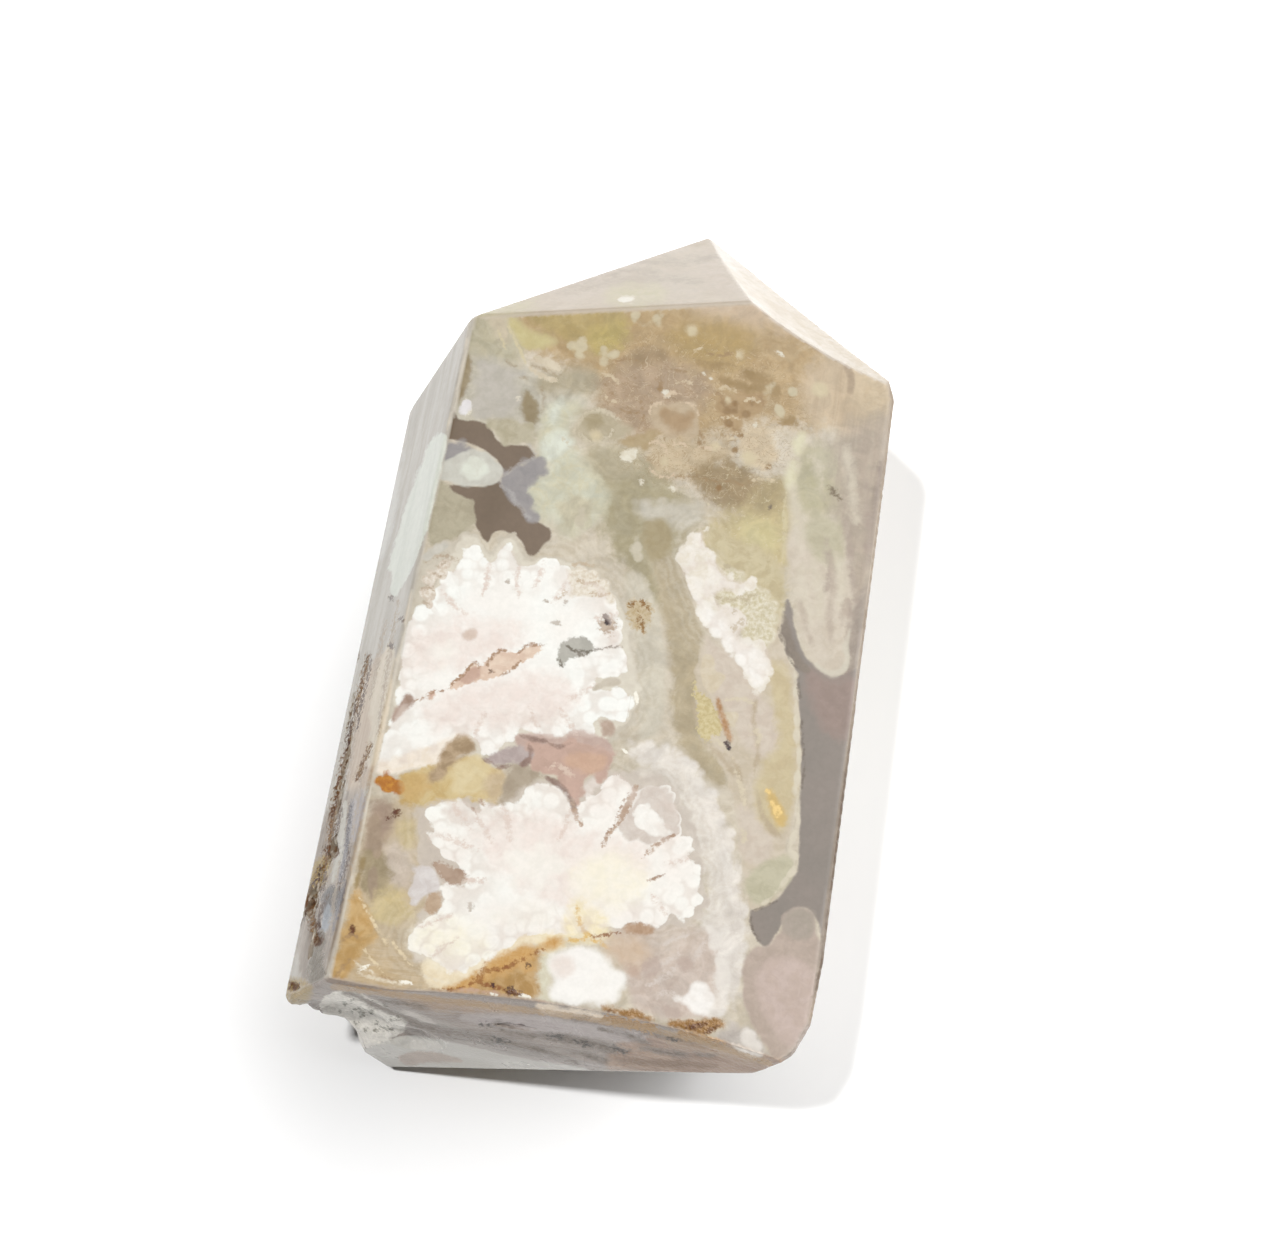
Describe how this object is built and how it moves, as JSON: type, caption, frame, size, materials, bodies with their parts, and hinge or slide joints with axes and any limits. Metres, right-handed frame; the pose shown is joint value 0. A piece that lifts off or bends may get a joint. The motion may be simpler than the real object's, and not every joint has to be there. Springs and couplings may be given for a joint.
{
  "type": "flower agate point",
  "caption": "Short, wide polished stone point with a many-sided tip and a rough-cornered heel, lying on its flat back face.",
  "frame": {"origin": "centre of the stone's bounding box in X and Y, on the flat back face that it rests on", "axes": "+Y from the heel to the tip, +Z out of the front face, +X to the right of the front face seen with the tip up"},
  "size_m": [0.0412, 0.075, 0.024],
  "materials": {
    "flower_agate": "polished flower agate with white plumes in clear grey and cream chalcedony"
  },
  "bodies": {
    "root": {"agate_point": "flower_agate"}
  },
  "joints": []
}
